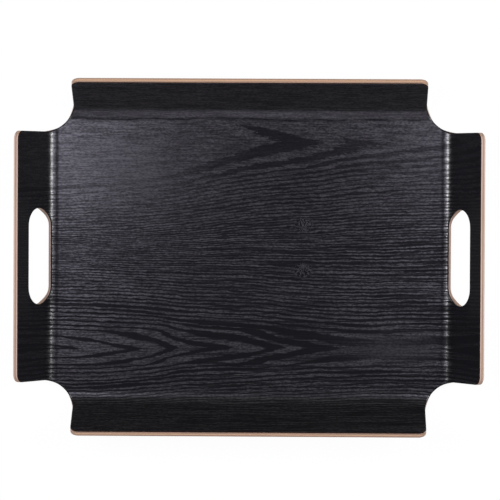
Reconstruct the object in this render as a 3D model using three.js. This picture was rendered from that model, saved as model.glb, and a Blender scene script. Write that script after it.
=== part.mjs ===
// Form-pressed plywood serving tray: flat floor, four flared walls, open round corners and a hand
// slot in each short wall. Five veneers are cut to one blank, glued and bent together on one mould.
// Millimetres, +Z up, X along the tray, origin on the table under the middle of the floor.
import * as THREE from "three";
import { mergeVertices } from "three/addons/utils/BufferGeometryUtils.js";

// The finished tray.
const LENGTH = 450; // over the rims of the short walls
const WIDTH = 342; // over the rims of the long walls
const HEIGHT = 52; // table to the top of the rim

// The sheet: a stained veneer on each face and three bare veneers crossed between them.
const FACE_VENEER = 0.6;
const CORE_VENEER = 1.5;
const EASED_EDGE = 1; // how far the sanded edge runs in over a face

// The mould.
const WALL_SLOPE = THREE.MathUtils.degToRad(60); // wall above the floor plane
const BEND_RADIUS = 15; // inside of the bend
const BEND_FACETS = 8;

// The blank, measured flat.
const LONG_WALL = 341; // end to end
const SHORT_WALL = 241;
const NOTCH_RADIUS = 30; // root of the open corner between two walls
const NOTCH_CHORDS = 12;
const RIM_CORNER = 8; // free corners of the walls
const CORNER_CHORDS = 6;
const SLOT_LENGTH = 93;
const SLOT_WIDTH = 34;
const SLOT_OUT = 24.9; // start of the bend to the middle of the slot
const SLOT_CHORDS = 16; // in the half turn at a slot's end
const LINE_GAP = 0.4; // least distance between two lines of facets

const QUARTER = Math.PI / 2;
const SHEET = 2 * FACE_VENEER + 3 * CORE_VENEER;
const BEND = BEND_RADIUS * WALL_SLOPE;
const BEND_RISE = BEND_RADIUS - (BEND_RADIUS + FACE_VENEER) * Math.cos(WALL_SLOPE);
const WALL = (HEIGHT - SHEET - BEND_RISE) / Math.sin(WALL_SLOPE);

// The bend and the wall reach this far past the flat floor, to the core's outer edge at the rim.
const OVERHANG =
  (BEND_RADIUS + SHEET - FACE_VENEER) * Math.sin(WALL_SLOPE) + WALL * Math.cos(WALL_SLOPE);
const FLOOR_X = LENGTH / 2 - OVERHANG;
const FLOOR_Y = WIDTH / 2 - OVERHANG;

// Each wall on the blank, measured out from the tray's middle: where its bend starts, where its
// notches turn into straight ends, half its length, and its slot.
const slot = { middle: FLOOR_X + SLOT_OUT, radius: SLOT_WIDTH / 2 };
const shortWall = {
  floor: FLOOR_X,
  rim: FLOOR_X + BEND + WALL,
  root: LONG_WALL / 2 + NOTCH_RADIUS,
  end: SHORT_WALL / 2,
  slot,
};
const longWall = {
  floor: FLOOR_Y,
  rim: FLOOR_Y + BEND + WALL,
  root: SHORT_WALL / 2 + NOTCH_RADIUS,
  end: LONG_WALL / 2,
};

// Half a wall's length at a distance out: round notch, straight end, round rim corner.
function halfWall({ rim, root, end }, out) {
  if (out < root) return end + NOTCH_RADIUS - Math.sqrt(NOTCH_RADIUS ** 2 - (root - out) ** 2);
  const past = Math.max(out - rim + RIM_CORNER, 0);
  return end - RIM_CORNER + Math.sqrt(RIM_CORNER ** 2 - past ** 2);
}

// Half the slot's length at a distance out, or nothing where the wall is whole.
function halfSlot(wall, out) {
  if (!wall.slot || Math.abs(out - wall.slot.middle) > wall.slot.radius + 1e-6) return null;
  const across = wall.slot.radius ** 2 - (out - wall.slot.middle) ** 2;
  return (SLOT_LENGTH - SLOT_WIDTH) / 2 + Math.sqrt(Math.max(across, 0));
}

// Lines along a wall, from its bend to its rim: the rim, the slot's sides, the bend's facets, and
// enough others to follow the round edges. A line is left out where one before it lies close by, and
// no facet's line lies where a slot's side is eased.
function wallLines(wall) {
  const spaced = (count, place) => Array.from({ length: count + 1 }, (_, i) => place(i / count));
  const clear = (lines, gap) => (out) => lines.every((line) => Math.abs(line - out) > gap);
  const round = [
    ...spaced(NOTCH_CHORDS, (t) => wall.root - NOTCH_RADIUS * Math.cos(t * QUARTER)),
    ...spaced(CORNER_CHORDS, (t) => wall.rim - RIM_CORNER * (1 - Math.sin(t * QUARTER))),
  ];
  const lines = [wall.rim];
  if (wall.slot) {
    const { middle, radius } = wall.slot;
    lines.push(middle - radius, middle + radius);
    round.push(...spaced(SLOT_CHORDS, (t) => middle - radius * Math.cos(t * Math.PI)));
  }
  const facets = spaced(BEND_FACETS, (t) => wall.floor + t * BEND);
  lines.push(...facets.filter(clear(lines, EASED_EDGE + LINE_GAP)));
  lines.push(...round.filter((out) => out > wall.floor && clear(lines, LINE_GAP)(out)));
  return lines.sort((a, b) => a - b);
}

// The flat blank as numbered points and triangles, floor first and then a wall for each quarter turn.
const points = [];
const numbers = new Map();
const triangles = [];

function pointAt(x, y) {
  const key = `${x.toFixed(3)} ${y.toFixed(3)}`;
  if (!numbers.has(key)) numbers.set(key, points.push(new THREE.Vector2(x, y)) - 1);
  return numbers.get(key);
}

function fillFloor() {
  const from = Math.acos((shortWall.root - FLOOR_X) / NOTCH_RADIUS);
  const to = Math.asin((longWall.root - FLOOR_Y) / NOTCH_RADIUS);
  const notch = Array.from({ length: NOTCH_CHORDS / 2 + 1 }, (_, i) => {
    const angle = from + ((to - from) * 2 * i) / NOTCH_CHORDS;
    const x = shortWall.root - NOTCH_RADIUS * Math.cos(angle);
    return new THREE.Vector2(x, longWall.root - NOTCH_RADIUS * Math.sin(angle));
  });
  const mirrored = (signX, signY) => notch.map(({ x, y }) => new THREE.Vector2(signX * x, signY * y));
  const outline = [
    ...mirrored(1, 1),
    ...mirrored(-1, 1).reverse(),
    ...mirrored(-1, -1),
    ...mirrored(1, -1).reverse(),
  ];
  for (const corners of THREE.ShapeUtils.triangulateShape(outline, [])) {
    triangles.push(corners.map((i) => pointAt(outline[i].x, outline[i].y)));
  }
}

// Strips between neighbouring lines of a wall, in two pieces where they pass the slot.
function fillWall(wall, turn) {
  const [cos, sin] = [Math.round(Math.cos(turn * QUARTER)), Math.round(Math.sin(turn * QUARTER))];
  const lines = wallLines(wall);
  const place = (out) => (across) => pointAt(cos * out - sin * across, sin * out + cos * across);
  const chains = (out, split) => {
    const end = halfWall(wall, out);
    const gap = halfSlot(wall, out);
    if (gap === null) return [[-end, end]];
    return split ? [[-end, -gap], [gap, end]] : [[-end, -gap, gap, end]];
  };
  lines.slice(1).forEach((far, i) => {
    const near = lines[i];
    const split = halfSlot(wall, (near + far) / 2) !== null;
    const outer = chains(far, split);
    chains(near, split).forEach((chain, piece) => {
      const a = chain.map(place(near));
      const b = outer[piece].map(place(far));
      const side = outer[piece];
      for (let m = 0, n = 0; m + n < a.length + b.length - 2; ) {
        const ahead = m === a.length - 1 || (n < b.length - 1 && side[n + 1] <= chain[m + 1]);
        triangles.push([a[m], b[n], ahead ? b[n + 1] : a[m + 1]]);
        if (ahead) n++;
        else m++;
      }
    });
  });
}

fillFloor();
[shortWall, longWall, shortWall, longWall].forEach(fillWall);

// The blank's edges are the sides of triangles that no second triangle shares.
const edges = new Map();
for (const [a, b, c] of triangles) {
  for (const side of [[a, b], [b, c], [c, a]]) {
    if (!edges.delete(`${side[1]} ${side[0]}`)) edges.set(`${side[0]} ${side[1]}`, side);
  }
}

// The direction in from the edge at every point, long enough to draw both its sides in by 1 mm.
const inward = points.map(() => []);
for (const [a, b] of edges.values()) {
  const along = points[b].clone().sub(points[a]).normalize();
  const normal = new THREE.Vector2(-along.y, along.x);
  inward[a].push(normal);
  inward[b].push(normal);
}
const drawIn = inward.map(([a, b]) => a.clone().add(b).divideScalar(1 + a.dot(b)));

// Where the mould carries a point: how far out it ends up, and how high over the floor's face.
function press(along, floor, depth) {
  const past = Math.abs(along) - floor;
  if (past <= 0) return [along, -depth];
  const angle = Math.min(past / BEND_RADIUS, WALL_SLOPE);
  const wall = Math.max(past - BEND, 0);
  const radius = BEND_RADIUS + depth;
  const out = floor + radius * Math.sin(angle) + wall * Math.cos(angle);
  const up = BEND_RADIUS - radius * Math.cos(angle) + wall * Math.sin(angle);
  return [Math.sign(along) * out, up];
}

// One face of a veneer as it comes off the mould, at a depth under the tray's inside face.
function pressedFace(depth, ease) {
  return points.map((point, i) => {
    const flat = point.clone().addScaledVector(drawIn[i], ease);
    const [x, upX] = press(flat.x, FLOOR_X, depth);
    const [y, upY] = press(flat.y, FLOOR_Y, depth);
    return new THREE.Vector3(x, y, upX + upY + depth);
  });
}

function pressedVeneer(top, bottom, topEase, bottomEase) {
  const upper = pressedFace(top, topEase);
  const lower = pressedFace(bottom, bottomEase);
  const corners = [];
  for (const [a, b, c] of triangles) {
    corners.push(upper[a], upper[b], upper[c], lower[c], lower[b], lower[a]);
  }
  for (const [a, b] of edges.values()) {
    corners.push(lower[a], lower[b], upper[b], lower[a], upper[b], upper[a]);
  }
  const geometry = mergeVertices(new THREE.BufferGeometry().setFromPoints(corners), 1e-4);
  geometry.computeVertexNormals();
  return geometry;
}

const stained = new THREE.MeshStandardMaterial({ color: 0x2b2b2f, roughness: 0.42, metalness: 0 });
const longGrain = new THREE.MeshStandardMaterial({ color: 0xd6baa6, roughness: 0.7, metalness: 0 });
const crossGrain = new THREE.MeshStandardMaterial({ color: 0xc2a28c, roughness: 0.75, metalness: 0 });

// The lay-up from the inside face down. Grain runs along X in the faces and the centre veneer.
const layUp = [
  { name: "top_face_veneer", thickness: FACE_VENEER, wood: stained, topEase: EASED_EDGE },
  { name: "upper_cross_veneer", thickness: CORE_VENEER, wood: crossGrain },
  { name: "centre_veneer", thickness: CORE_VENEER, wood: longGrain },
  { name: "lower_cross_veneer", thickness: CORE_VENEER, wood: crossGrain },
  { name: "bottom_face_veneer", thickness: FACE_VENEER, wood: stained, bottomEase: EASED_EDGE },
];

const tray = new THREE.Group();
let depth = 0;
for (const { name, thickness, wood, topEase = 0, bottomEase = 0 } of layUp) {
  const veneer = new THREE.Mesh(pressedVeneer(depth, depth + thickness, topEase, bottomEase), wood);
  veneer.name = name;
  veneer.position.z = SHEET;
  tray.add(veneer);
  depth += thickness;
}

export default tray;
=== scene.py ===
from math import acos, cos, hypot, pi, radians, sin, sqrt
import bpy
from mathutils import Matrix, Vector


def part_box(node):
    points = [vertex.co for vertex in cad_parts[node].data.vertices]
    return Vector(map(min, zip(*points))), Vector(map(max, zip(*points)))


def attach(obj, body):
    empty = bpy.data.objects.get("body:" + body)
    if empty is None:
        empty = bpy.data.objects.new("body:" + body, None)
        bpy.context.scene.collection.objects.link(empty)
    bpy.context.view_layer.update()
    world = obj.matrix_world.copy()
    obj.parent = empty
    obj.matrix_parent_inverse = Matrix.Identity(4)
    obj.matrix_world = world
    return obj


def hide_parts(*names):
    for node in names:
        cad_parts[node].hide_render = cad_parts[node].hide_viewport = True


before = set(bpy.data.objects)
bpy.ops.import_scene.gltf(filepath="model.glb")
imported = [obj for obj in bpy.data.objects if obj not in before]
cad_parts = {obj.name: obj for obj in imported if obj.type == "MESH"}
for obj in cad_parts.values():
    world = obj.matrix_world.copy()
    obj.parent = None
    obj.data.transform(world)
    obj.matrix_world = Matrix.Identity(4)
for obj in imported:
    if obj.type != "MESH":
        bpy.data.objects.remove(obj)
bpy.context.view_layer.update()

from types import SimpleNamespace

import bpy
import numpy as np

# Bottom face veneer: the tray's outside and underside, a thin sliced veneer stained black and lacquered.
# It is cut to the tray's flat blank and goes into the mould first. One stroke of the press bends the
# whole pile, and the edge is sanded round afterwards.
FACE_VENEER = 0.0006
CORE_VENEER = 0.0015
SHEET = 2 * FACE_VENEER + 3 * CORE_VENEER
EASED_EDGE = 0.0013  # how far the sanding runs in over a face
EDGE_STEPS = 5

# The mould, and the floor and walls that it gives.
WALL_SLOPE = radians(60)  # over the floor
BEND_RADIUS = 0.015  # on the inside face
BEND_FACETS = 24
rim_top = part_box("upper_cross_veneer")[1].z
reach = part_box("lower_cross_veneer")[1]
bend = BEND_RADIUS * WALL_SLOPE
bend_rise = BEND_RADIUS - (BEND_RADIUS + FACE_VENEER) * cos(WALL_SLOPE)
wall_height = (rim_top - SHEET - bend_rise) / sin(WALL_SLOPE)
overhang = (BEND_RADIUS + SHEET - FACE_VENEER) * sin(WALL_SLOPE) + wall_height * cos(WALL_SLOPE)
floor_x, floor_y = reach.x - overhang, reach.y - overhang

# The flat blank, and its outline where the sanded edge begins on a face.
LONG_WALL, SHORT_WALL = 0.341, 0.241  # end to end
NOTCH_RADIUS = 0.030  # root of the open corner between two walls
RIM_CORNER = 0.008
SLOT_LENGTH, SLOT_WIDTH = 0.093, 0.034
SLOT_OUT = 0.0249  # start of the bend to the middle of the slot
NOTCH_CHORDS, CORNER_CHORDS, SLOT_CHORDS = 24, 8, 40
LINE_GAP = 0.00012  # least distance between two lines of points
EDGE_CLEAR = 0.001  # least distance of an inner point from the edge
POINT_DIGITS = 7  # points closer than a tenth of a micrometre are one
ROUNDING = 1e-9
notch_x, notch_y = LONG_WALL / 2 + NOTCH_RADIUS, SHORT_WALL / 2 + NOTCH_RADIUS
notch = NOTCH_RADIUS + EASED_EDGE
corner = RIM_CORNER - EASED_EDGE
rim_x, rim_y = (floor + bend + wall_height - EASED_EDGE for floor in (floor_x, floor_y))
slot_x = floor_x + SLOT_OUT
slot_radius = SLOT_WIDTH / 2 + EASED_EDGE
slot_straight = (SLOT_LENGTH - SLOT_WIDTH) / 2
short_wall = SimpleNamespace(floor=floor_x, rim=rim_x, root=notch_x, end=notch_y - notch, slot=True)
long_wall = SimpleNamespace(floor=floor_y, rim=rim_y, root=notch_y, end=notch_x - notch, slot=False)


def room(x, y):
    """How far a point of the blank lies from the nearest notch or slot."""
    x, y = abs(x), abs(y)
    from_notch = hypot(max(notch_x - x, 0), max(notch_y - y, 0)) - notch
    from_slot = hypot(max(y - slot_straight, 0), slot_x - x) - slot_radius
    return min(from_notch, from_slot)


def half_wall(wall, out):
    """Half a wall's length this far out from the middle: round notch, straight end, round corner."""
    if out < wall.root:
        return wall.end + notch - sqrt(notch**2 - (wall.root - out) ** 2)
    past = max(out - wall.rim + corner, 0)
    return wall.end - corner + sqrt(max(corner**2 - past**2, 0))


def half_slot(wall, out):
    """Half the slot's length this far out, or nothing where the wall is whole."""
    across = slot_radius**2 - (out - slot_x) ** 2
    if not wall.slot or across < -ROUNDING:
        return None
    return slot_straight + sqrt(max(across, 0))


def spaced(count, place):
    """What place gives at so many even steps from 0 to 1."""
    return [place(step / count) for step in range(count + 1)]


def wall_lines(wall):
    """How far out the lines of points along a wall lie, from its bend to its rim."""
    lines = [wall.rim]
    wished = spaced(BEND_FACETS, lambda t: wall.floor + t * bend)
    wished += spaced(NOTCH_CHORDS, lambda t: wall.root - notch * cos(t * pi / 2))
    wished += spaced(CORNER_CHORDS, lambda t: wall.rim - corner * (1 - sin(t * pi / 2)))
    if wall.slot:
        lines += [slot_x - slot_radius, slot_x + slot_radius]
        wished += spaced(SLOT_CHORDS, lambda t: slot_x - slot_radius * cos(t * pi))
    for out in wished:
        if out >= wall.floor and all(abs(line - out) > LINE_GAP for line in lines):
            lines.append(out)
    return sorted(lines)


def cut_blank(grid):
    """The flat blank as points and triangles, its edge, and at each point of the edge the way out.
    Inner points stand on lines along X and Y at the distances in grid."""
    numbers, triangles = {}, []

    def point(x, y):
        return numbers.setdefault((round(x, POINT_DIGITS), round(y, POINT_DIGITS)), len(numbers))

    def fill(near, far, near_run, far_run, place):
        """Triangles between two lines, each a run of places across."""
        a = [point(*place(near, across)) for across in near_run]
        b = [point(*place(far, across)) for across in far_run]
        m = n = 0
        while m + n < len(a) + len(b) - 2:
            ahead = m == len(a) - 1 or (n < len(b) - 1 and far_run[n + 1] <= near_run[m + 1])
            triangles.append((a[m], b[n], b[n + 1] if ahead else a[m + 1]))
            m, n = (m, n + 1) if ahead else (m + 1, n)

    def runs(wall, out, split):
        """The places across along a line of a wall, in two runs where the slot parts it."""
        end, gap = half_wall(wall, out), half_slot(wall, out)
        inside = [a for a in grid if abs(a) < end - EDGE_CLEAR]
        inner = [a for a in inside if (room(out, a) if wall.slot else room(a, out)) > EDGE_CLEAR]
        if gap is None:
            return [[-end, *inner, end]]
        left = [-end, *[a for a in inner if a < -gap], -gap]
        right = [gap, *[a for a in inner if a > gap], end]
        return [left, right] if split else [left + right]

    base = half_wall(long_wall, floor_y)
    first, last = acos((notch_x - base) / notch), acos((notch_x - floor_x) / notch)
    arc = spaced(NOTCH_CHORDS // 2, lambda t: notch_x - notch * cos(first + t * (last - first)))
    columns = sorted([x for x in grid if room(x, floor_y) > EDGE_CLEAR] + arc + [-x for x in arc])

    def floor_run(x):
        half = floor_y
        if abs(x) > base:
            half = notch_y - sqrt(notch**2 - (notch_x - abs(x)) ** 2)
        inside = [y for y in grid if abs(y) < half - EDGE_CLEAR]
        return [-half, *[y for y in inside if room(x, y) > EDGE_CLEAR], half]

    for near, far in zip(columns, columns[1:]):
        fill(near, far, floor_run(near), floor_run(far), lambda x, y: (x, y))
    quarter_turns = [
        (short_wall, lambda out, across: (out, across)),
        (long_wall, lambda out, across: (-across, out)),
        (short_wall, lambda out, across: (-out, -across)),
        (long_wall, lambda out, across: (across, -out)),
    ]
    for wall, place in quarter_turns:
        lines = wall_lines(wall)
        for near, far in zip(lines, lines[1:]):
            split = half_slot(wall, (near + far) / 2) is not None
            for near_run, far_run in zip(runs(wall, near, split), runs(wall, far, split)):
                fill(near, far, near_run, far_run, place)

    points = np.array(list(numbers))
    sides = {(t[i], t[(i + 1) % 3]) for t in triangles for i in range(3)}
    edge = [(a, b) for a, b in sides if (b, a) not in sides]
    normals = {}
    for a, b in edge:
        along = (points[b] - points[a]) / np.linalg.norm(points[b] - points[a])
        for end in (a, b):
            normals.setdefault(end, []).append(np.array((along[1], -along[0])))
    way_out = np.zeros_like(points)
    for number, (one, other) in normals.items():
        way_out[number] = (one + other) / (1 + one @ other)
    return SimpleNamespace(points=points, triangles=triangles, edge=sorted(edge), way_out=way_out)


def press(along, floor, depth):
    """Where the mould carries points: how far out they end up, and how high over the floor's face."""
    past = np.abs(along) - floor
    angle = np.clip(past / BEND_RADIUS, 0, WALL_SLOPE)
    radius = BEND_RADIUS + depth
    up_wall = np.maximum(past - bend, 0)
    out = np.minimum(np.abs(along), floor) + radius * np.sin(angle) + up_wall * cos(WALL_SLOPE)
    return np.sign(along) * out, BEND_RADIUS - radius * np.cos(angle) + up_wall * sin(WALL_SLOPE)


MILLIMETRES = 1000  # in a metre


def pressed_veneer(name, blank, levels, show_face):
    """A veneer from the mould. Each level is a depth under the tray's inside face and a step out from the
    blank's edge. The wood's own place on the flat sheet stays with every point, in millimetres."""
    rim = sorted({number for side in blank.edge for number in side})
    seat = {number: place for place, number in enumerate(rim)}
    corners, flats, ways, rings = [], [], [], []
    count = 0
    for depth, step in levels:
        whole = (depth, step) in (levels[0], levels[-1])
        chosen = np.arange(len(blank.points)) if whole else np.array(rim)
        flat = blank.points[chosen] + step * blank.way_out[chosen]
        x, rise_x = press(flat[:, 0], floor_x, depth)
        y, rise_y = press(flat[:, 1], floor_y, depth)
        corners.append(np.column_stack((x, y, SHEET + rise_x + rise_y + depth)))
        under = np.full(len(chosen), abs(depth - show_face))
        flats.append(MILLIMETRES * np.column_stack((flat, under)))
        ways.append(np.column_stack((blank.way_out[chosen], np.zeros(len(chosen)))))
        rings.append({number: count + (number if whole else seat[number]) for number in rim})
        count += len(chosen)
    under_face = count - len(blank.points)
    faces = [tuple(t) for t in blank.triangles]
    faces += [tuple(under_face + number for number in reversed(t)) for t in blank.triangles]
    for above, below in zip(rings, rings[1:]):
        faces += [(below[a], below[b], above[b], above[a]) for a, b in blank.edge]
    mesh = bpy.data.meshes.new(name)
    mesh.from_pydata(np.concatenate(corners).tolist(), [], faces)
    for label, vectors in (("blank", flats), ("way_out", ways)):
        note = mesh.attributes.new(label, "FLOAT_VECTOR", "POINT")
        note.data.foreach_set("vector", np.concatenate(vectors).ravel())
    mesh.shade_smooth()
    arris = {frozenset((ring[a], ring[b])) for ring in (rings[0], rings[-1]) for a, b in blank.edge}
    mesh.attributes.new("sharp_edge", "BOOLEAN", "EDGE").data.foreach_set(
        "value", [frozenset(side.vertices) in arris for side in mesh.edges]
    )
    veneer = bpy.data.objects.new(name, mesh)
    bpy.context.scene.collection.objects.link(veneer)
    return veneer


EVEN_SANDING = 0.46  # share of the step out that goes evenly with the sanding


def sanded(t):
    """A sanded edge from a face, at 0, to the veneer under it, at 1: depth under the face and step out."""
    return FACE_VENEER * t**2, EASED_EDGE * (EVEN_SANDING * t + (1 - EVEN_SANDING) * t**2)


def paint(red, green, blue):
    """A colour as it looks on a screen, from 0 to 255, in the shader's own scale."""
    parts = [part / 255 for part in (red, green, blue)]
    return [p / 12.92 if p < 0.04045 else ((p + 0.055) / 1.055) ** 2.4 for p in parts] + [1]


class Field:
    """A number that changes over a surface, worked out by the shader."""

    def __init__(self, socket):
        self.socket, self.tree = socket, socket.id_data

    def put(self, operation, *others):
        """The result of one of the shader's own operations on this number and others."""
        step = self.tree.nodes.new("ShaderNodeMath")
        step.operation = operation
        for place, value in zip(step.inputs, (self, *others)):
            join(value, place)
        return Field(step.outputs[0])

    def __add__(self, other):
        return self.put("ADD", other)

    def __sub__(self, other):
        return self.put("SUBTRACT", other)

    def __mul__(self, other):
        return self.put("MULTIPLY", other)

    def __truediv__(self, other):
        return self.put("DIVIDE", other)

    def __pow__(self, other):
        return self.put("POWER", other)

    def rising(self, low, high):
        """0 under low, 1 over high, and smooth between."""
        step = self.tree.nodes.new("ShaderNodeMapRange")
        step.interpolation_type = "SMOOTHSTEP"
        join(self, step.inputs["Value"])
        step.inputs["From Min"].default_value = low
        step.inputs["From Max"].default_value = high
        return Field(step.outputs["Result"])


def join(value, socket):
    """Gives a socket a field or a plain number."""
    if isinstance(value, Field):
        value.tree.links.new(value.socket, socket)
    else:
        socket.default_value = value


def wood_material(name):
    """A new material, its shader, and the wood's place on the flat sheet: along, across and depth."""
    material = bpy.data.materials.new(name)
    material.use_nodes = True
    tree = material.node_tree
    flat = tree.nodes.new("ShaderNodeAttribute")
    flat.attribute_name = "blank"
    parts = tree.nodes.new("ShaderNodeSeparateXYZ")
    tree.links.new(flat.outputs["Vector"], parts.inputs[0])
    return material, tree.nodes["Principled BSDF"], [Field(part) for part in parts.outputs]


def patches(x, y, length, width, detail=1, z=0.0):
    """Noise from 0 to 1 in patches of this length and width, in millimetres."""
    tree = x.tree
    where = tree.nodes.new("ShaderNodeCombineXYZ")
    for value, place in zip((x / length, y / width, z), where.inputs):
        join(value, place)
    noise = tree.nodes.new("ShaderNodeTexNoise")
    noise.inputs["Scale"].default_value = 1
    noise.inputs["Detail"].default_value = detail
    tree.links.new(where.outputs[0], noise.inputs["Vector"])
    return Field(noise.outputs["Fac"])


def tinted(share, plain, full):
    """A colour that goes from plain to full with a share."""
    mix = share.tree.nodes.new("ShaderNodeMix")
    mix.data_type = "RGBA"
    join(share, mix.inputs["Factor"])
    for socket, colour in (("A", plain), ("B", full)):
        place = next(s for s in mix.inputs if s.name == socket and s.type == "RGBA")
        if isinstance(colour, bpy.types.NodeSocket):
            share.tree.links.new(colour, place)
        else:
            place.default_value = colour
    return next(s for s in mix.outputs if s.type == "RGBA")


def graded(share, plain, full):
    """A number that goes from plain to full with a share."""
    return share * (full - plain) + plain


def flipped(share):
    """1 where a share is 0, and 0 where it is 1."""
    return share * -1 + 1


def strayed(noise, by):
    """A push either way from a noise from 0 to 1."""
    return (noise - 0.5) * by


def bell(*offsets):
    """1 at a place and falling off round it. The offsets from the place are in shares of its reach."""
    total = offsets[0] ** 2
    for offset in offsets[1:]:
        total = total + offset**2
    return (total * -1).put("EXPONENT")


def heart_line(along, tips):
    """How many rings deep the slice runs along its heart, through the places given for single rings."""
    half_span, most = 250, 10
    curve = along.tree.nodes.new("ShaderNodeFloatCurve")
    points = curve.mapping.curves[0].points
    while len(points) < len(tips):
        points.new(0.5, 0.5)
    for spot, (place, ring) in zip(points, tips):
        spot.location = ((place + half_span) / (2 * half_span), ring / most)
        spot.handle_type = "AUTO_CLAMPED"
    curve.mapping.update()
    join((along + half_span) / (2 * half_span), curve.inputs["Value"])
    return Field(curve.outputs["Value"]) * most


def rings_about(heart, lie, flame):
    """Growth rings counted from a heart, where they hold much dense wood, and where the thick year lies.
    A heart is a line along the sheet where the slice runs level with the rings, so that they come up as
    nested points. It has its place across, the width of a ring and how much closer the rings lie on the
    near side, the pith's depth and the sharpness of the points, both in rings, and the tips. From dense_from
    on the rings hold much dense wood, and the thick year holds more. The rings are wide up to wide_rings,
    counted from the heart with a wide_share of 1 and from the pith with 0, and then come so much quicker."""
    setting_in, thick_span = 0.3, 0.55  # in rings
    aside = lie - heart.across
    off = aside.put("MAXIMUM", aside * -heart.lean) / heart.ring + heart.sharp
    middle = heart_line(flame, heart.tips)
    number = (((middle + heart.pith) ** 2 + off**2 - heart.sharp**2) ** 0.5) - heart.pith
    wide_to = middle * heart.wide_share + heart.wide_rings
    quicker = (number - wide_to).put("MAXIMUM", 0.0) * heart.quickening
    dense = number.rising(heart.dense_from - setting_in, heart.dense_from)
    thick = bell((number - heart.thick_year) / thick_span)
    return number + quicker, dense, thick


def late_wood(along, across, lie, near_heart, far_heart, meeting, shift):
    """The dense dark wood that ends each year, from 0 to 1. Rings are counted from the near heart. The far
    heart's are counted back from a number where the two meet, so that one run goes from heart to heart."""
    flame = along + strayed(patches(along, across, length=46, width=3.5, detail=2, z=shift + 9), by=17)
    flame = flame + strayed(patches(along, across, length=60, width=15, z=shift + 3), by=18)
    near_rings, near_dense, near_thick = rings_about(near_heart, lie, flame)
    far_rings, far_dense, far_thick = rings_about(far_heart, lie, flame)
    rings = graded(lie.rising(-25, 25), near_rings, far_rings * -1 + meeting)
    rings = rings + strayed(patches(rings, rings * 0, length=1.7, width=1, z=shift), by=0.9)
    from_near = (lie - near_heart.across).put("ABSOLUTE")
    from_far = (lie - far_heart.across).put("ABSOLUTE")
    serration = graded(from_near.rising(25, 65), 0.12, 0.45)
    rings = rings + strayed(patches(along, lie, length=5, width=1.1, z=shift + 7), by=serration)
    year = rings.put("FRACT")

    # How much later in the year the dense wood starts: later off the hearts, past the far one and at the
    # left of the near one, and sooner in a thick year, between the hearts and above the near one's right.
    off_hearts, past_far, thick_years, amid, everywhere = 0.1, 0.42, -0.32, -0.04, -0.02
    at_left, at_right, at_right_above = 0.18, 0.1, -0.12
    off_near = from_near.rising(5, 30)
    off_far = from_far.rising(16, 45)
    between = flipped(lie.put("ABSOLUTE").rising(28, 75))
    start = strayed(patches(along, across, length=60, width=9, z=shift + 2), by=0.5) + everywhere
    start = start + off_near.put("MINIMUM", off_far) * off_hearts
    start = start + lie.rising(far_heart.across - 3, far_heart.across + 6) * past_far
    start = start + (near_thick + far_thick) * thick_years + between * amid
    above = (lie - near_heart.across).rising(-4, 4)
    right = graded(above, at_right, at_right_above)
    start = start + flipped(off_near) * graded(along.rising(-105, -35), at_left, right)

    late = (year - start).rising(0.42, 0.56) * flipped(year.rising(0.93, 1.0))
    faint = flipped(patches(along, rings, length=34, width=0.8, z=shift).rising(0.3, 0.6))
    late = late * graded(faint * between, 1, 0.9) * graded(near_dense * far_dense, 0.2, 1)
    return late * graded(lie.rising(far_heart.across + 10, far_heart.across + 18), 1, 0.15)


def open_grain(along, across, near_heart, far_heart, meeting, level_places, knots, shift):
    """How open the sliced wood is, from 0 on dense wood and in the pores to 1. In a level place hardly any
    dense wood comes up: it has its place, its length and width, and the share that is lost. A pin knot has
    its place and how far aside its rays fan out."""
    sway = strayed(patches(along, across, length=110, width=50, z=shift), by=7)
    ripple = strayed(patches(along, across, length=12, width=4, detail=2, z=shift), by=2.4)
    lie = across + sway + ripple
    burst = rays = quiet = along * 0
    turns, ray_stray = 13, 15  # rays round a knot, and how far they stray
    bent_length, bent_width, bent = 12, 6, 0.4  # grain that passes round a knot
    burst_length, burst_width = 8, 6
    for knot_along, knot_across, fan in knots:
        by_x = along - knot_along
        by_y = across - knot_across
        lie = lie - by_y * bell(by_x / bent_length, by_y / bent_width) * bent
        here = bell(by_x / burst_length, (by_y - fan) / burst_width).rising(0.12, 0.45)
        stray = patches(along, across, length=2.2, width=2.2, z=shift) * ray_stray
        turn = by_y.put("ARCTAN2", by_x) * turns + stray
        ends = graded(patches(along, across, length=1.7, width=1.7, z=shift + 5).rising(0.35, 0.55), 0.4, 1)
        rays = rays + turn.put("SINE").rising(-0.6, 0.9) * ends * here
        burst = burst + here
    for level_along, level_across, length, width, lost in level_places:
        quiet = quiet + bell((along - level_along) / length, (across - level_across) / width) * lost

    late = late_wood(along, across, lie, near_heart, far_heart, meeting, shift)
    not_level = flipped(quiet.put("MINIMUM", 1.0))
    late = late * not_level
    pores = flipped(patches(along, lie, length=2.6, width=1.1, z=shift + 4).rising(0.38, 0.6))
    closed = pores * graded(quiet, -0.6, -0.35) + 1
    lines = patches(along, lie, length=20, width=0.95, z=shift + 6).rising(0.38, 0.6)
    streaked = lines * graded(quiet, 0.62, 0.28) + graded(quiet, 0.38, 0.54)
    long_lines = patches(along, lie, length=60, width=0.95, z=shift + 6).rising(0.38, 0.6)
    crisp = flipped(lie.rising(10, 70)) * not_level * along.rising(-110, -30)
    streaked = graded(crisp, streaked, graded(long_lines, 0.15, 1.2))
    return closed * streaked * graded(late, 1, 0.05) * flipped(burst) + rays


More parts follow.
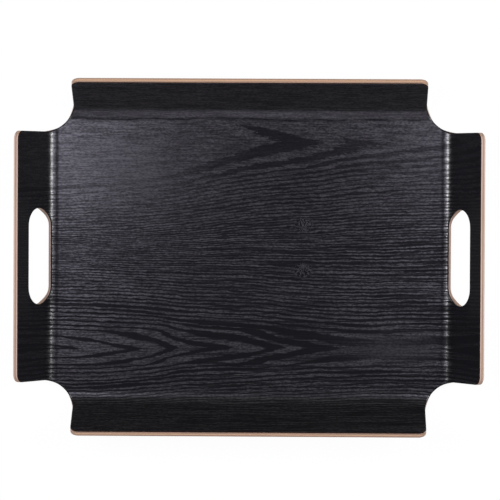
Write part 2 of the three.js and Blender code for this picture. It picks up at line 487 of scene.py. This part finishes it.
def stained_wood(name, near_heart, far_heart, meeting, level_places, knots, dark_line, shift):
    """Sliced veneer stained black. The lacquer lies on the open wood and sinks into the dense wood. On the
    walls the stain takes other tones and the lacquer is thinned: painted light and shade for how the lamps
    fall there. A dark line may run along the sheet."""
    material, shader, (along, across, depth) = wood_material(name)
    tree = material.node_tree
    open_wood = open_grain(along, across, near_heart, far_heart, meeting, level_places, knots, shift)
    out_along, out_across = along.put("ABSOLUTE"), across.put("ABSOLUTE")
    bare = depth.rising(0.03, 0.3)
    painted_long_wall = out_across.rising(127, 141)
    painted_short_wall = out_along.rising(194, 204)
    by_hand = out_along.rising(221, 231) * flipped(out_across.rising(35, 70))
    by_rim = out_across.rising(185, 188).put("MAXIMUM", out_along.rising(239, 242))

    hand_wear = 0.8
    stain = tinted(open_wood, paint(18, 18, 20), paint(23, 23, 25))
    # Painted light and shade: each kind of wall gets its own tones of stain.
    stain = tinted(painted_long_wall, stain, tinted(open_wood, paint(14, 14, 15), paint(39, 38, 38)))
    stain = tinted(painted_short_wall, stain, tinted(open_wood, paint(23, 23, 25), paint(31, 31, 33)))
    stain = tinted(by_hand * hand_wear, stain, paint(33, 33, 34))
    sanded_brown = paint(34, 19, 14)
    tree.links.new(tinted(bare * by_rim, stain, sanded_brown), shader.inputs["Base Color"])
    join(graded(open_wood, 0.42, 0.52), shader.inputs["Roughness"])
    shader.inputs["Specular IOR Level"].default_value = 0

    lacquer = graded(open_wood, 0.03, 1)
    # Painted shade: the lacquer is evened out on the long walls and thinned on the short ones, darkening
    # their reflections.
    lacquer = graded(painted_long_wall, lacquer, graded(lacquer, 0.26, 0.66))
    lacquer = lacquer * graded(painted_short_wall, 1, 0.2)
    if dark_line is not None:
        half_width = 1.1
        wave = strayed(patches(along, along * 0, length=38, width=1, detail=2, z=shift), by=8)
        kept = patches(along, along * 0, length=30, width=1, detail=2, z=shift + 8).rising(0.38, 0.55)
        lacquer = lacquer * graded(bell((across + wave - dark_line) / half_width) * kept, 1, 0.15)
    join(lacquer * graded(bare, 1, 0.2), shader.inputs["Coat Weight"])
    shader.inputs["Coat Roughness"].default_value = 0.28
    shader.inputs["Coat IOR"].default_value = 1.8
    bump = tree.nodes.new("ShaderNodeBump")
    bump.inputs["Strength"].default_value = 0.4
    bump.inputs["Distance"].default_value = 0.00006
    join(open_wood, bump.inputs["Height"])
    tree.links.new(bump.outputs[0], shader.inputs["Normal"])
    tree.links.new(bump.outputs[0], shader.inputs["Coat Normal"])
    return material


GRID_STEP = 0.008
GRID_LINES = 30  # each way from the middle
FACE_GRID = [GRID_STEP * step for step in range(-GRID_LINES, GRID_LINES + 1)]
face_blank = cut_blank(FACE_GRID)
bottom_levels = [(SHEET - depth, step) for depth, step in reversed(spaced(EDGE_STEPS, sanded))]
bottom_face_veneer = pressed_veneer("bottom_face", face_blank, bottom_levels, SHEET)
# Places along the sheet where a ring's point lies, and which ring it is.
NEAR_TIPS = [(-250, 2), (-60, 3), (110, 4.2), (250, 5)]
FAR_TIPS = [(-250, 6), (-90, 5), (60, 4), (250, 3.2)]
near_heart = SimpleNamespace(
    across=-95, ring=1.9, lean=1, pith=100, sharp=12, tips=NEAR_TIPS,
    dense_from=0, thick_year=3.6, wide_share=1, wide_rings=1.5, quickening=0.7,
)
far_heart = SimpleNamespace(
    across=120, ring=1.8, lean=1, pith=120, sharp=8, tips=FAR_TIPS,
    dense_from=0, thick_year=4.6, wide_share=0, wide_rings=9, quickening=0.8,
)
RINGS_MEET = 65.45
OUTSIDE_LEAF = 7.3  # another leaf of veneer, with another run of noise
outside_stain = stained_wood(
    "stained_outside", near_heart, far_heart, RINGS_MEET,
    level_places=[], knots=[], dark_line=None, shift=OUTSIDE_LEAF,
)
bottom_face_veneer.data.materials.append(outside_stain)
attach(bottom_face_veneer, "root")
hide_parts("bottom_face_veneer")

# Lower cross veneer: bare, pale peeled veneer with its grain across the tray, so that the tray stays flat.
# It is glued to the bottom face in the mould. Only its cut edge shows, sanded and left unstained.
core_blank = cut_blank([])


def bare_wood(name, grain_along_tray, pale, end_grain, shift):
    """Peeled veneer at its cut edge: fine long grain where the edge runs with the grain, and darker
    open ends where it crosses it, with a thin glue line at each face."""
    material, shader, (along, across, depth) = wood_material(name)
    tree = material.node_tree
    if not grain_along_tray:
        along, across = across, along
    way = tree.nodes.new("ShaderNodeAttribute")
    way.attribute_name = "way_out"
    parts = tree.nodes.new("ShaderNodeSeparateXYZ")
    tree.links.new(way.outputs["Vector"], parts.inputs[0])
    crossing = Field(parts.outputs[0 if grain_along_tray else 1]).put("ABSOLUTE").rising(0.35, 0.85)
    change_with_depth = 4  # steps of the noise in a millimetre
    long_shade, end_shade = 0.84, 0.72  # of the darker wood in each
    clouding, glue_strength = 0.3, 0.55
    layer = depth * change_with_depth + shift
    streaks = patches(along, across, length=24, width=0.9, detail=3, z=layer)
    ends = patches(along, across, length=0.5, width=0.5, detail=2, z=layer)
    cloud = patches(along, across, length=55, width=55, z=shift)
    glue = flipped(depth.rising(0.02, 0.12) - depth.rising(1.38, 1.48))
    long_grain = tinted(streaks.rising(0.35, 0.7), pale, [c * long_shade for c in pale[:3]] + [1])
    open_ends = tinted(ends.rising(0.4, 0.65), end_grain, [c * end_shade for c in end_grain[:3]] + [1])
    wood = tinted(crossing, long_grain, open_ends)
    wood = tinted(cloud.rising(0.35, 0.75) * clouding, wood, paint(176, 139, 110))
    tree.links.new(tinted(glue * glue_strength, wood, paint(120, 88, 66)), shader.inputs["Base Color"])
    join(graded(streaks, 0.55, 0.7) + crossing * 0.1, shader.inputs["Roughness"])
    bump = tree.nodes.new("ShaderNodeBump")
    bump.inputs["Strength"].default_value = 0.4
    bump.inputs["Distance"].default_value = 0.0001
    join(streaks * 0.5 - ends * crossing, bump.inputs["Height"])
    tree.links.new(bump.outputs[0], shader.inputs["Normal"])
    return material


CROSS_PALE = paint(184, 161, 145)
END_GRAIN = paint(147, 122, 101)
top_of_lower_cross = FACE_VENEER + 2 * CORE_VENEER
lower_cross_levels = [(top_of_lower_cross, EASED_EDGE), (top_of_lower_cross + CORE_VENEER, EASED_EDGE)]
lower_cross_veneer = pressed_veneer("lower_cross", core_blank, lower_cross_levels, top_of_lower_cross)
lower_cross_wood = bare_wood("lower_cross_grain", False, CROSS_PALE, END_GRAIN, shift=1.7)
lower_cross_veneer.data.materials.append(lower_cross_wood)
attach(lower_cross_veneer, "root")
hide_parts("lower_cross_veneer")

# Centre veneer: the same pale wood turned to run along the tray, the middle of the pile. Its edge shows
# open ends in the short rims, where its neighbours show long grain, and the reverse in the long rims.
CENTRE_PALE = paint(186, 152, 119)
top_of_centre = FACE_VENEER + CORE_VENEER
centre_levels = [(top_of_centre, EASED_EDGE), (top_of_centre + CORE_VENEER, EASED_EDGE)]
centre_veneer = pressed_veneer("centre", core_blank, centre_levels, top_of_centre)
centre_wood = bare_wood("centre_grain", True, CENTRE_PALE, END_GRAIN, shift=12.9)
centre_veneer.data.materials.append(centre_wood)
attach(centre_veneer, "root")
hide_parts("centre_veneer")

# Upper cross veneer: bare wood with its grain across the tray again, under the inside face. Its edge is
# the first pale line inside the black of the rims.
upper_cross_levels = [(FACE_VENEER, EASED_EDGE), (FACE_VENEER + CORE_VENEER, EASED_EDGE)]
upper_cross_veneer = pressed_veneer("upper_cross", core_blank, upper_cross_levels, FACE_VENEER)
upper_cross_wood = bare_wood("upper_cross_grain", False, CROSS_PALE, END_GRAIN, shift=23.1)
upper_cross_veneer.data.materials.append(upper_cross_wood)
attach(upper_cross_veneer, "root")
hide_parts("upper_cross_veneer")

# Top face veneer: the inside of the tray, one wide leaf of sliced veneer laid on last, stained black and
# lacquered satin. Two hearts run along it, one near each long wall, with close straight grain between.
NEAR_TIPS = [
    (-250, 0.5),
    (-200, 0.6),
    (-152, 1),
    (-95, 2),
    (-64, 3),
    (-2, 4),
    (39, 5),
    (107, 6),
    (124, 6.1),
    (146, 6),
    (250, 5.4),
]
FAR_TIPS = [
    (-250, 3.5),
    (-132, 4.2),
    (-90, 4.9),
    (-48, 6),
    (-12, 6.9),
    (15, 7.4),
    (45, 7.75),
    (66, 8.05),
    (97, 8.6),
    (156, 9.03),
    (250, 9.7),
]
# Along, across, length, width and share lost.
LEVEL_PLACES = [(-125, 88, 92, 50, 0.9), (165, 100, 90, 45, 0.5), (140, -88, 40, 15, 0.75)]
near_heart = SimpleNamespace(
    across=-89, ring=2.5, lean=1.1, pith=100, sharp=20, tips=NEAR_TIPS,
    dense_from=0, thick_year=5.6, wide_share=1, wide_rings=1.5, quickening=0.95,
)
far_heart = SimpleNamespace(
    across=113, ring=1.8, lean=1, pith=130, sharp=8, tips=FAR_TIPS,
    dense_from=7.5, thick_year=7.6, wide_share=0, wide_rings=9.1, quickening=0.85,
)
RINGS_MEET = 63.45
INSIDE_LEAF = 2.6
DARK_LINE = 133.5  # across, where the far bend starts
PIN_KNOTS = [(52, 28, 3), (52, -9, -4)]  # along, across and the way the rays fan
top_face_veneer = pressed_veneer("top_face", face_blank, spaced(EDGE_STEPS, sanded), 0)
inside_stain = stained_wood(
    "stained_inside", near_heart, far_heart, RINGS_MEET,
    level_places=LEVEL_PLACES, knots=PIN_KNOTS, dark_line=DARK_LINE, shift=INSIDE_LEAF,
)
top_face_veneer.data.materials.append(inside_stain)
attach(top_face_veneer, "root")
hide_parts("top_face_veneer")

# Studio: a white floor that shows the tray's soft shadow and is clear from below, a strip light beside each
# short wall, two dim panels overhead towards the far corners, and a pale card in front of the tray.
FLOOR_HALF = 40
FLOOR_GAP = 0.0001  # keeps the floor's face apart from the tray's underside
SEEN_WHITE = 0.97  # share of the floor's white that doesn't depend on the lamps
mesh = bpy.data.meshes.new("studio_floor")
square = ((-1, -1), (1, -1), (1, 1), (-1, 1))
floor_corners = [(x * FLOOR_HALF, y * FLOOR_HALF, -FLOOR_GAP) for x, y in square]
mesh.from_pydata(floor_corners, [], [(0, 1, 2, 3)])
studio_floor = bpy.data.objects.new("studio_floor", mesh)
bpy.context.scene.collection.objects.link(studio_floor)
white = bpy.data.materials.new("studio_white")
white.use_nodes = True
tree = white.node_tree
matt = tree.nodes["Principled BSDF"]
matt.inputs["Base Color"].default_value = (0.85, 0.85, 0.85, 1)
matt.inputs["Roughness"].default_value = 0.9
glow = tree.nodes.new("ShaderNodeEmission")
rays = tree.nodes.new("ShaderNodeLightPath")
seen = Field(rays.outputs["Is Camera Ray"]) + Field(rays.outputs["Is Glossy Ray"])
seen = seen + Field(rays.outputs["Is Transmission Ray"])
blend = tree.nodes.new("ShaderNodeMixShader")
join(seen.put("MINIMUM", 1.0) * SEEN_WHITE, blend.inputs["Fac"])
tree.links.new(matt.outputs[0], blend.inputs[1])
tree.links.new(glow.outputs[0], blend.inputs[2])
side = tree.nodes.new("ShaderNodeNewGeometry")
clear = tree.nodes.new("ShaderNodeBsdfTransparent")
from_above = tree.nodes.new("ShaderNodeMixShader")
tree.links.new(side.outputs["Backfacing"], from_above.inputs["Fac"])
tree.links.new(blend.outputs[0], from_above.inputs[1])
tree.links.new(clear.outputs[0], from_above.inputs[2])
tree.links.new(from_above.outputs[0], tree.nodes["Material Output"].inputs["Surface"])
mesh.materials.append(white)


def lamp(name, place, aim, size, radiance, colour=(1, 1, 1)):
    """A rectangular lamp, as bright all over as radiance times a lit white card."""
    light = bpy.data.lights.new(name, "AREA")
    light.shape = "RECTANGLE"
    light.size, light.size_y = size
    light.energy = radiance * pi * size[0] * size[1]
    light.color = colour
    stand = bpy.data.objects.new(name, light)
    stand.location = place
    way = np.array(aim) - np.array(place)
    stand.rotation_euler = (acos(-way[2] / np.linalg.norm(way)), 0, np.arctan2(-way[0], way[1]))
    stand.visible_camera = False
    bpy.context.scene.collection.objects.link(stand)


STRIP = (0.42, 0.24)
COOL = (1.0, 0.95, 1.2)
PANEL = (0.5, 0.64)
WIDE_PANEL = (0.5, 0.7)
CARD = (1.6, 1.6)
lamp("left_strip", place=(-0.834, 0.17, 0.965), aim=(0.19, 0.16, 0), size=STRIP, radiance=27)
lamp("right_strip", place=(0.898, 0.17, 0.89), aim=(-0.19, 0.16, 0), size=STRIP, radiance=29)
lamp("left_panel", place=(-0.49, 0.26, 1.0), aim=(-0.49, 0.261, 0), size=PANEL, radiance=4.0, colour=COOL)
lamp(
    "right_panel", place=(0.51, 0.26, 1.0), aim=(0.51, 0.261, 0), size=WIDE_PANEL, radiance=2.85, colour=COOL
)
lamp("front_card", place=(0, -1.0, 0.8), aim=(0, 0, 0), size=CARD, radiance=0.72, colour=COOL)

world = bpy.data.worlds.new("studio_air")
world.use_nodes = True
world.node_tree.nodes["Background"].inputs["Color"].default_value = (1, 1, 1, 1)
world.node_tree.nodes["Background"].inputs["Strength"].default_value = 0.1
bpy.context.scene.world = world
bpy.context.scene.view_settings.view_transform = "Standard"

# Camera: straight above the tray, a long lens from three metres, as in the photograph.
view = bpy.data.cameras.new("camera")
view.lens = 222.456
camera = bpy.data.objects.new("camera", view)
camera.location = (0.0473, 0.06779, 2.99887)
camera.rotation_mode = "ZYX"
camera.rotation_euler = (-0.02044, 0.01567, 0.00511)
bpy.context.scene.collection.objects.link(camera)
bpy.context.scene.camera = camera
